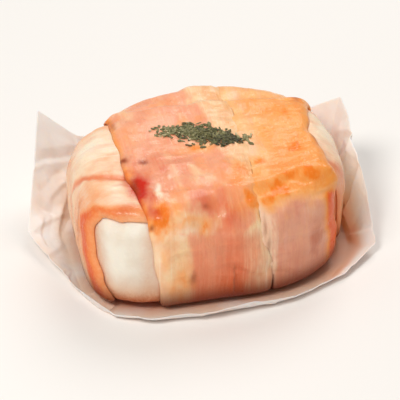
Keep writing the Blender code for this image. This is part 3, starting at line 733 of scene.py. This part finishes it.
def make_rasher(name, node, rasher, steps, looks, seed):
    """A closed strip: each row along it is a loop over its outer face, round its rims and back inside."""
    across, lengthwise = steps
    even = np.linspace(0.0, 1.0, across + 1)
    share = 0.45 * even + 0.55 * (0.5 - 0.5 * np.cos(math.pi * even))
    run = np.linspace(-1.0, 1.0, lengthwise + 1)[:, None].repeat(across + 1, axis=1)
    first, last = rasher.edges(run)
    side = first + (last - first) * share
    inner, out = rasher.place(side, run)
    strip = strip_place(side, run, seed)
    shares = {kind: 0.0 * side for kind in ("red", "dark", "hollow")} | looks(strip, side, run)
    shares["rim"] = edge_browning(name, rasher, side, run)
    # Painted contact shade, darker towards the bottom of the rasher
    shares["foot"] = rise(inner[..., 2], *FOOT_SHADE_HEIGHTS) ** 1.5
    height = rasher.thickness(side, run) + relief(rasher, strip, side, run, shares, seed)
    outer = inner + out * height[..., None]
    sideways = RIM_BULGE * np.eye(3)[1 - rasher.wrap.axis]
    first_rim = (inner[:, :1] + outer[:, :1]) / 2 - sideways
    last_rim = (inner[:, -1:] + outer[:, -1:]) / 2 + sideways
    loops = np.concatenate([first_rim, outer, last_rim, inner[:, ::-1]], axis=1)
    around = loops.shape[1]
    columns = [0, *range(across + 1), across, *range(across, -1, -1)]
    faces = quads(0, around, lengthwise + 1)
    for start, turn in ((0, -1), (lengthwise * around, 1)):
        for k in range(across + 2):
            cap = [start + k, start + k + 1, start + around - 1 - k, start + (around - k) % around]
            faces.append(tuple(dict.fromkeys(cap))[::turn])
    points = turned(loops, TURN).reshape(-1, 3)
    made = new_object(name, points, facing_out(points, faces))
    for kind, values in shares.items():
        give(made, kind, np.clip(values, 0.0, 1.0)[:, columns].ravel())
    give(made, "strip", strip[:, columns].reshape(-1, 3))
    return stand_in(made, node), turned(outer, TURN).reshape(-1, 3)


def edge_through(places):
    return lambda run: along(run, *places)


def under_rasher():
    """The one from side to side: wide over the front left of the top, drawn in on the wall below."""
    lines = edge_through(UNDER_FRONT), edge_through(UNDER_BACK)
    return Rasher(Wrap(0, UNDER_SIDES), lines, UNDER_HEIGHTS, seed=0.4)


def over_rashers(under):
    """The two from back to front. They overlap on top and part lower down."""
    wrap = Wrap(1, OVER_SIDES)
    overlap_edge = edge_through(OVERLAP_EDGE)

    def hidden_edge(run):
        return overlap_edge(run) - OVERLAP + (OVERLAP + SEAM) * rise(np.abs(run), *PARTING_RUN)

    lines = hidden_edge, edge_through(OUTER_RIGHT)
    right = Rasher(wrap, lines, OVER_HEIGHTS, (under,), (HIDDEN_TAPER, NO_TAPER), 2.1)
    lines = edge_through(OUTER_LEFT), overlap_edge
    left = Rasher(wrap, lines, OVER_HEIGHTS, (under, right), (OUTER_TAPER, LAPPED_TAPER), 1.2)
    return left, right


def cheese_tilts(middle, rings):
    """Angles from upright that space the rings evenly down the skin, and closer where it rounds."""
    tilt = np.linspace(0.0, math.pi, 400)
    section = skin_along(middle, np.stack([np.sin(tilt), 0.0 * tilt, np.cos(tilt)], axis=-1))
    steps = np.abs(np.diff(section, axis=0)).sum(axis=1)
    gone = np.concatenate([[0.0], np.cumsum(steps)])
    return np.interp(np.linspace(0.0, gone[-1], rings + 2), gone, tilt)


def make_cheese(rashers):
    """The skin along rays from the cheese's middle, as rings between a top and a bottom point."""
    round_steps, rings = CHEESE_STEPS
    middle = np.array([0.0, 0.0, CHEESE_MIDDLE])
    angle = np.linspace(0.0, 2.0 * math.pi, round_steps, endpoint=False)
    angle, tilt = np.meshgrid(angle, cheese_tilts(middle, rings))
    directions = np.stack([np.sin(tilt) * np.cos(angle), np.sin(tilt) * np.sin(angle), np.cos(tilt)], -1)
    skin = skin_along(middle, directions)
    skin = np.concatenate([skin[0, :1], skin[1:-1].reshape(-1, 3), skin[-1, :1]])
    inside = np.max([rasher.inside(*rasher.wrap.place_of(skin)) for rasher in rashers], axis=0)
    bare = smooth(-inside / 1.2)
    touching = smooth((inside + 0.9) / 0.7)
    out = outward(skin)
    rough = CHEESE_ROUGH * clouds(skin, 6.0, 91) + CHEESE_FINE * clouds(skin, 1.1, 92)
    pits = CHEESE_PITS * patches(skin, 0.8, 93, 0.55, 1.0)
    crumbs = CHEESE_CRUMBS * (1.0 - 2.0 * np.abs(noise(skin / 3.0, 94)))
    skin = skin + out * ((rough - pits + crumbs - CHEESE_FINE) * (0.15 + 0.85 * bare))[:, None]
    points = turned(skin, TURN)
    faces = quads(1, round_steps, rings, True)
    start = 1 + (rings - 1) * round_steps
    for k in range(round_steps):
        after = (k + 1) % round_steps
        faces += [(0, 1 + k, 1 + after), (start + k, len(points) - 1, start + after)]
    made = new_object("cheese", points, facing_out(points, faces))
    x, _, z = points.T
    left, right = BARE_SIDES
    from_left = x - left - BARE_LEAN * np.maximum(BARE_LEAN_BELOW - z, 0.0)
    stain = np.maximum(rise(from_left, 4.4, 0.0), 0.45 * rise(right - x, 3.0, 0.0))
    give(made, "stain", stain * smooth((BARE_TOP - z) / 3.0))
    give(made, "touching", np.maximum(0.2 * touching, smooth(x / 5.0)))
    # Painted warm bounce light, towards the bottom
    give(made, "warm_bounce", rise(z, *CHEESE_BOUNCE_HEIGHTS))
    give(made, "foot", rise(z, *CHEESE_FOOT_HEIGHTS))
    return stand_in(made, "goat_cheese")


def level(angle):
    """Level directions at these angles."""
    return np.stack([np.cos(angle), np.sin(angle), 0.0 * angle], axis=-1)


def paper_edge(angle):
    """The paper's edge, straight between its turning points."""
    at, out, up = np.array(PAPER_EDGE).T
    corners = level(np.radians(at)) * out[:, None]
    corners[:, 2] = up
    return np.stack([np.interp(np.degrees(angle), at, values, period=360.0) for values in corners.T], axis=-1)


def paper_creases(angle):
    """Folds that run up the paper: straight-sided, unevenly spaced, from a seeded draw."""
    draw = np.random.default_rng(11)
    places = np.linspace(0.0, 2.0 * math.pi, PAPER_CREASES, endpoint=False)
    places = places + draw.uniform(-0.4, 0.4, PAPER_CREASES) * (places[1] - places[0])
    heights = draw.uniform(-1.0, 1.0, PAPER_CREASES)
    return PAPER_CREASE * np.interp(angle, places, heights, period=2.0 * math.pi)


def paper_folds(round_at, up_at):
    """Sharp straight folds across the paper's wall, each steeper on one side, from a seeded draw."""
    draw = np.random.default_rng(23)
    total = 0.0 * (round_at + up_at)
    whole = 2.0 * math.pi * PAPER_MEAN_RADIUS
    folds = list(PAPER_LONG_FOLDS)
    for _ in range(PAPER_FOLDS):
        middle = draw.uniform((0.0, 1.0), (whole, 20.0))
        length, gentle, steep = draw.uniform((4.0, 1.8, 0.7), (11.0, 4.5, 1.6))
        height = draw.uniform(0.2, 0.8) * draw.choice((-1.0, 1.0))
        folds.append((*middle, draw.uniform(-0.5, 2.1), length, gentle, steep, height))
    for *middle, turn, length, gentle, steep, height in folds:
        x, y = (round_at - middle[0] + whole / 2) % whole - whole / 2, up_at - middle[1]
        across = y * math.cos(turn) - x * math.sin(turn)
        lengthwise = x * math.cos(turn) + y * math.sin(turn)
        shape = 1.0 - np.where(across > 0.0, across / gentle, -across / steep)
        total += height * np.maximum(shape, 0.0) * smooth(1.5 - np.abs(lengthwise) / length)
    return total


def make_paper():
    """A flat floor close round the cheese, and a wall up to the edge, doubled for the thickness."""
    angle = np.linspace(0.0, 2.0 * math.pi, PAPER_STEPS_ROUND, endpoint=False)
    foot = level(angle) * (cheese_radius(angle - TURN) + PAPER_FOOT_MARGIN)[:, None]
    edge = paper_edge(angle)
    wall = edge - foot
    high = np.clip(edge[:, 2] / PAPER_HIGH, 0.0, 1.0)
    curve = PAPER_CURVE_LOW + (PAPER_CURVE_HIGH - PAPER_CURVE_LOW) * high
    creased = np.clip(edge[:, 2] / PAPER_CREASE_HEIGHT, PAPER_CREASE_LEAST, 1.0)
    floor = foot * np.linspace(0.0, 1.0, PAPER_FLOOR_RINGS + 1)[1:, None, None]
    up = np.linspace(0.0, 1.0, PAPER_STEPS_UP + 1)[1:, None]
    walls = foot + (wall + level(angle) * (paper_creases(angle) * creased)[:, None]) * up[..., None]
    walls[..., 2] = edge[:, 2] * up**curve
    below = np.concatenate([floor, walls])
    ups = np.concatenate([np.zeros((PAPER_FLOOR_RINGS, 1)), up])
    along_ring = np.roll(below, -1, axis=1) - np.roll(below, 1, axis=1)
    between_rings = np.concatenate([below[1:], below[-1:]]) - np.concatenate([below[:1], below[:-1]])
    normals = np.cross(between_rings, along_ring)
    normals /= np.linalg.norm(normals, axis=-1, keepdims=True)
    normals[: PAPER_FLOOR_RINGS - 1] = (0.0, 0.0, 1.0)
    lengths = np.linalg.norm(wall, axis=-1) * ups
    crumple = paper_folds(angle * PAPER_MEAN_RADIUS, lengths) + 0.03 * clouds(below, 1.1, 103)
    crumple += PAPER_CRUMPLE * (0.5 - 1.6 * np.abs(noise(below / 3.4, 102)))
    tall = smooth(edge[:, 2] / 6.0)
    fade = smooth(ups / 0.3) * np.where(crumple < 0.0, 1.0 - rise(ups, 0.7, 1.0), 1.0)
    below = below + normals * (crumple * fade * (0.3 + 0.7 * tall))[..., None]
    below[..., 2] = np.maximum(below[..., 2], 0.0)
    above = below + normals * PAPER_THICKNESS
    middles = [(0.0, 0.0, 0.0), (0.0, 0.0, PAPER_THICKNESS)]
    points = np.concatenate([below.reshape(-1, 3), above.reshape(-1, 3), middles])
    count = len(below) * PAPER_STEPS_ROUND
    last = count - PAPER_STEPS_ROUND
    faces = quads(0, PAPER_STEPS_ROUND, len(below)) + quads(count, PAPER_STEPS_ROUND, len(below), True)
    for k in range(PAPER_STEPS_ROUND):
        after = (k + 1) % PAPER_STEPS_ROUND
        faces += [(2 * count, after, k), (2 * count + 1, count + k, count + after)]
        faces.append((last + k, last + after, count + last + after, count + last + k))
    points = kept_in(points)
    made = new_object("paper_sheet", points, facing_out(points, faces))
    # Grease stain with painted contact shadow, strongest next to the cheese
    give(made, "stain", rise(cheese_distance(turned(points, -TURN)), *STAIN_AND_SHADE_REACH))
    up = np.broadcast_to(ups, below.shape[:2]).ravel()
    up = np.concatenate([up, up, [0.0, 0.0]])
    give(made, "up", up)
    # Painted warm reflection of the bacon on the paper, in front on the right
    blush = rise(points[:, 0], *WARM_REFLECTION_X) * rise(points[:, 1], *WARM_REFLECTION_Y) * rise(up, *WARM_REFLECTION_UP)
    give(made, "blush", blush)
    return stand_in(made, "paper")


def leaf(draw, length, width):
    """A torn, curled bit of leaf: a flat tube of uneven width, closed at both ends."""
    t = np.linspace(-1.0, 1.0, LEAF_STEPS)
    half = width / 2 * np.sqrt(1.02 - t**2) * draw.uniform(0.6, 1.2, LEAF_STEPS)
    x = length / 2 * t + draw.normal(0.0, 0.04, LEAF_STEPS)
    y = draw.normal(0.0, 0.03, LEAF_STEPS)
    curl, bend = draw.uniform(-0.25, 0.45, 2) * (0.6 * width, 0.25 * length)
    thick = draw.uniform(0.05, 0.09)
    sides = np.array([-1, 0, 1, 1, 0, -1])
    up = np.array([-1, -1, -1, 1, 1, 1])
    y = y[:, None] + half[:, None] * sides
    z = curl * sides**2 - bend * t[:, None] ** 2 + thick * up
    return np.stack([x[:, None] + 0.0 * sides, y, z], axis=-1).reshape(-1, 3)


def leaf_faces(start):
    """The faces of a leaf whose points begin at the start, with six round it at each step."""
    end = start + 6 * LEAF_STEPS
    return [tuple(range(start + 5, start - 1, -1)), tuple(range(end - 6, end))] + quads(start, 6, LEAF_STEPS)


def make_herbs(ground):
    """Chopped leaves on the rashers, in heaps that thin out at their ends, and some that strayed."""
    draw = np.random.default_rng(5)
    ground = ground[ground[:, 2] > CHEESE_TOP]
    points, faces, shades = [], [], []
    for middle, spread, tilt, count, tones in HERBS:
        for _ in range(count):
            spot = draw.normal(0.0, 1.0, 2)
            turn = (*draw.normal(0.0, 0.25, 2), draw.normal(math.radians(tilt), 1.0))
            shape = leaf(draw, *draw.uniform((0.5, 0.3), (1.9, 0.8)))
            lift, tone = draw.uniform(0.0, 1.0), draw.uniform(*tones)
            x, y = turned(np.array([*(spot * spread), 0.0]), math.radians(tilt))[:2] + middle
            near = np.hypot(ground[:, 0] - x, ground[:, 1] - y) < HERB_NEAR
            if np.hypot(*spot) > HERB_REACH or not near.any():
                continue
            faces += leaf_faces(len(shades))
            shades += [tone] * len(shape)
            z = ground[near, 2].max() + HERB_CLEAR + HERB_HEAP * lift * math.exp(-0.5 * spot @ spot)
            points.append(shape @ np.array(Euler(turn).to_matrix()).T + (x, y, z))
    made = new_object("herbs", kept_in(np.concatenate(points)), faces)
    give(made, "tone", shades)
    return stand_in(made, "bacon_over_left", "bacon_over_right")


def rgb(code):
    """A colour from its six hexadecimal digits."""
    parts = [int(code[k : k + 2], 16) / 255.0 for k in (0, 2, 4)]
    return [part / 12.92 if part <= 0.04045 else ((part + 0.055) / 1.055) ** 2.4 for part in parts] + [1.0]


class Paint:
    """A material's nodes, made one call at a time. A name in a number's place is the mesh's own value."""

    def __init__(self, made, name):
        material = bpy.data.materials.new(name)
        material.use_nodes = True
        self.tree = material.node_tree
        made.data.materials.append(material)

    def node(self, kind, inputs, output=0, **settings):
        """The output of a new node, whose inputs are given by name or number."""
        made = self.tree.nodes.new("ShaderNode" + kind)
        for name, value in settings.items():
            setattr(made, name, value)
        for name, value in inputs.items():
            self.put(made.inputs[name], value)
        return made.outputs[output]

    def put(self, socket, value):
        if isinstance(value, str):
            value = self.given(value)
        if isinstance(value, bpy.types.NodeSocket):
            self.tree.links.new(value, socket)
        else:
            socket.default_value = value

    def given(self, name, kind="Fac"):
        return self.node("Attribute", {}, kind, attribute_name=name)

    def place(self):
        """The place on the object, in millimetres."""
        where = self.node("TexCoord", {}, "Object")
        return self.node("Mapping", {"Vector": where, "Scale": (1000.0, 1000.0, 1000.0)})

    def noise(self, where, size, detail=3.0, roughness=0.5):
        """Noise from about 0 to 1, with a size in millimetres, one for all or for each axis."""
        where = self.node("Mapping", {"Vector": where, "Scale": 1.0 / np.broadcast_to(size, 3)})
        inputs = {"Vector": where, "Scale": 1.0, "Detail": detail, "Roughness": roughness}
        return self.node("TexNoise", inputs, "Fac")

    def range(self, value, low, high, to_low=0.0, to_high=1.0):
        inputs = {"Value": value, "From Min": low, "From Max": high, "To Min": to_low, "To Max": to_high}
        return self.node("MapRange", inputs, interpolation_type="SMOOTHSTEP")

    def math(self, first, second, operation="MULTIPLY"):
        return self.node("Math", {0: first, 1: second}, operation=operation)

    def mix(self, share, *colours):
        """Two colours mixed, given as six digits or as sockets."""
        first, second = (rgb(colour) if isinstance(colour, str) else colour for colour in colours)
        return self.node("Mix", {0: share, 6: first, 7: second}, 2, data_type="RGBA")

    def layer(self, share, colour):
        """Lays a colour over the material's own."""
        self.colour = self.mix(share, self.colour, colour)

    def bump(self, height, distance, **below):
        inputs = {"Height": height, "Distance": distance * MM, "Strength": 1.0, **below}
        return self.node("Bump", inputs)

    def finish(self, inputs):
        for name, value in {"Base Color": self.colour, **inputs}.items():
            self.put(self.tree.nodes["Principled BSDF"].inputs[name], value)


# The colours of each rasher: lean, deep lean that also serves as painted shade on the walls, fat, warm and
# pale fat, the pale also serving for painted glints, browned, burnt, and its browned edge
UNDER_COLOURS = ("f29c74", "e0682c", "fad6b2", "f4be94", "fdeed4", "f4a064", "d4703c", "e65c00")
LEFT_COLOURS = ("f6a682", "dc6c40", "fbd4a6", "f4bc8c", "feeed6", "fc9c44", "f27814", "d8502a")
RIGHT_COLOURS = ("eca48a", "cc7454", "fcc688", "f4ae76", "fcd6bc", "fea042", "f67808", "f0600c")


def paint_bacon(made, name, lean, deep, fat, warm, pale, browned, burnt, rim):
    """Lean and fat with their fibres, then what the oven browned, its dark bits and edges, the painted
    shadows in its gaps and seam, and the painted contact shade at its foot.
    """
    paint = Paint(made, name)
    strip = paint.given("strip", "Vector")
    grain = paint.noise(strip, (0.5, 8, 1), 4.0, 0.6)
    fine = paint.noise(strip, (0.6, 1, 1), 4.0, 0.6)
    broad = paint.noise(strip, (3.5, 6, 1), 3.0, 0.55)
    lines = paint.noise(strip, (1.2, 30, 1), 3.0, 0.6)
    deep_share = paint.math(paint.range(broad, 0.35, 0.75, 0.0, 0.4), "deep", "MAXIMUM")
    lean_colour = paint.mix(paint.range(grain, 0.35, 0.7, 0.22, 0.0), lean, fat)
    lean_colour = paint.mix(paint.math(deep_share, paint.range(grain, 0.3, 0.6, 0.8, 1.0)), lean_colour, deep)
    fat_colour = paint.mix(paint.range(broad, 0.35, 0.7), fat, warm)
    fat_colour = paint.mix(paint.range(lines, 0.52, 0.72, 0.0, 0.55), fat_colour, warm)
    fat_colour = paint.mix(paint.range(lines, 0.45, 0.28, 0.0, 0.45), fat_colour, pale)
    # pale carries pale fat and, on the left rasher, the painted glints
    fat_colour = paint.mix("pale", fat_colour, pale)
    frayed = paint.math("fat", paint.range(grain, 0.3, 0.7, -0.12, 0.12), "ADD")
    paint.colour = paint.mix(paint.range(frayed, 0.08, 0.92), lean_colour, fat_colour)
    uneven = paint.range(fine, 0.25, 0.6, 0.82, 1.0)
    toasted = paint.math("brown", uneven)
    paint.layer(toasted, browned)
    paint.layer(paint.range(toasted, 0.55, 1.15), burnt)
    edge = paint.math("rim", uneven)
    paint.layer(paint.range(edge, 0.0, 0.6), browned)
    paint.layer(paint.range(edge, 0.35, 0.9), rim)
    # red: red lean, darkened as painted shadow in the gap under the lifted left edge; dark: burnt specks and
    # painted shadows in gaps and along the seam
    paint.layer("red", "cc2408")
    paint.layer("dark", "903400")
    # Painted contact shade at the foot
    paint.layer(paint.math("foot", 0.92), "6e2408")
    paint.finish({
        "Roughness": paint.range(fine, 0.3, 0.7, 0.26, 0.46),
        "Normal": paint.bump(fine, 0.12, Normal=paint.bump(grain, 0.08)),
        "Subsurface Weight": 0.2,
        "Subsurface Radius": (1.0, 0.45, 0.25),
        "Subsurface Scale": 0.9 * MM,
        "Coat Weight": 0.2,
        "Coat Roughness": 0.12,
        "Specular IOR Level": 0.18,
    })


def paint_cheese(made):
    paint = Paint(made, "fresh_cheese")
    where = paint.place()
    broad = paint.noise(where, 7.0)
    fine = paint.noise(where, 0.7, 5.0, 0.62)
    paint.colour = paint.mix(paint.range(broad, 0.35, 0.7), "f4ecdd", "ece0ce")
    # Painted warm bounce light: tan towards the bottom
    paint.layer("warm_bounce", "deae86")
    stain = paint.math("stain", paint.range(fine, 0.25, 0.6, 0.7, 1.0))
    paint.layer(paint.math(stain, 0.9), "dc9f74")
    paint.layer("touching", "e07840")
    paint.layer(paint.math("foot", paint.range(fine, 0.3, 0.6, 0.6, 1.0)), "b45c2c")
    paint.finish({
        "Roughness": paint.range(fine, 0.3, 0.7, 0.42, 0.62),
        "Normal": paint.bump(fine, 0.14),
        "Subsurface Weight": 0.35,
        "Subsurface Radius": (1.0, 0.8, 0.6),
        "Subsurface Scale": 1.2 * MM,
    })


def paint_paper(made):
    paint = Paint(made, "baking_paper")
    where = paint.place()
    fibres = paint.noise(where, 0.35, 5.0, 0.65)
    broad = paint.noise(where, 9.0)
    greasy = paint.math(paint.range(broad, 0.3, 0.6, 0.4, 0.9), paint.range("up", 0.6, 0.0))
    paint.colour = paint.mix(paint.range(broad, 0.3, 0.7), "fff4ee", "fee6dc")
    paint.layer(greasy, "fccab0")
    # Painted warm reflection on the paper in front on the right
    paint.layer(paint.math("blush", 0.7), "fa9c70")
    # Grease stain with painted contact shadow next to the cheese
    paint.layer(paint.math("stain", 0.85), "c4683c")
    paint.finish({
        "Roughness": paint.range(greasy, 0.0, 1.0, 0.62, 0.4),
        "Normal": paint.bump(fibres, 0.05),
        "Subsurface Weight": 0.8,
        "Subsurface Radius": (1.0, 0.8, 0.65),
        "Subsurface Scale": 0.5 * MM,
    })


def paint_herbs(made):
    paint = Paint(made, "dried_herbs")
    fine = paint.noise(paint.place(), 0.5)
    paint.colour = paint.mix(paint.range("tone", 0.05, 0.45), "383820", "6e6c40")
    paint.layer(paint.range("tone", 0.45, 0.8), "989264")
    paint.layer(paint.range("tone", 0.85, 1.0), "d8c498")
    paint.layer(paint.range(fine, 0.35, 0.7, 0.0, 0.35), "6e6038")
    paint.finish({"Roughness": 0.6, "Normal": paint.bump(fine, 0.05)})


def make_floor():
    corners = [(x * FLOOR_HALF, y * FLOOR_HALF, FLOOR_Z) for x, y in ((-1, -1), (1, -1), (1, 1), (-1, 1))]
    made = new_object("floor", np.array(corners), [(0, 1, 2, 3)])
    paint = Paint(made, "floor")
    paint.colour = rgb("f3f0ec")
    paint.finish({"Roughness": 0.7})


def make_light(name, place, size, power):
    lamp = bpy.data.lights.new(name, "AREA")
    lamp.shape = "DISK"
    lamp.size = size * MM
    lamp.energy = power
    lamp.color = (1.0, 0.98, 0.95)
    aim(linked(name, lamp), place, LIGHT_TARGET)


def aim(made, place, target):
    """Puts an object at a place and turns its -Z axis towards the target."""
    made.location = Vector(place) * MM
    made.rotation_euler = (Vector(target) - Vector(place)).to_track_quat("-Z", "Y").to_euler()


def make_lights():
    make_light("key", (-250.0, -340.0, 560.0), 260.0, 2.7)
    make_light("back", (140.0, 420.0, 460.0), 380.0, 1.5)
    world = bpy.data.worlds.new("world")
    world.use_nodes = True
    background = world.node_tree.nodes["Background"]
    background.inputs["Color"].default_value = (1.0, 0.99, 0.98, 1.0)
    background.inputs["Strength"].default_value = 0.42
    bpy.context.scene.world = world


def make_camera():
    lens = bpy.data.cameras.new("camera")
    lens.sensor_width = SENSOR
    lens.lens = SENSOR * CAMERA_DISTANCE / FRAME_WIDTH
    lens.clip_start = 0.01
    lens.clip_end = 20.0
    made = linked("camera", lens)
    x, y, z = CAMERA_TARGET
    back, up = math.cos(CAMERA_ELEVATION), math.sin(CAMERA_ELEVATION)
    aim(made, (x, y - CAMERA_DISTANCE * back, z + CAMERA_DISTANCE * up), CAMERA_TARGET)
    bpy.context.scene.camera = made


def main():
    for old in [o for o in bpy.data.objects if o.name in ("Cube", "Light", "Camera")]:
        bpy.data.objects.remove(old, do_unlink=True)
    bpy.context.scene.view_settings.view_transform = "Standard"
    under = under_rasher()
    left, right = over_rashers(under)
    paint_cheese(make_cheese((under, left, right)))
    paint_paper(make_paper())
    made, _ = make_rasher("bacon_side_to_side", "bacon_under", under, UNDER_STEPS, under_looks, 3)
    paint_bacon(made, "bacon_under", *UNDER_COLOURS)
    made, left_top = make_rasher("bacon_left", "bacon_over_left", left, LEFT_STEPS, left_looks, 1)
    paint_bacon(made, "bacon_left", *LEFT_COLOURS)
    made, right_top = make_rasher("bacon_right", "bacon_over_right", right, RIGHT_STEPS, right_looks, 2)
    paint_bacon(made, "bacon_right", *RIGHT_COLOURS)
    paint_herbs(make_herbs(np.concatenate([left_top, right_top])))
    make_floor()
    make_lights()
    make_camera()


main()
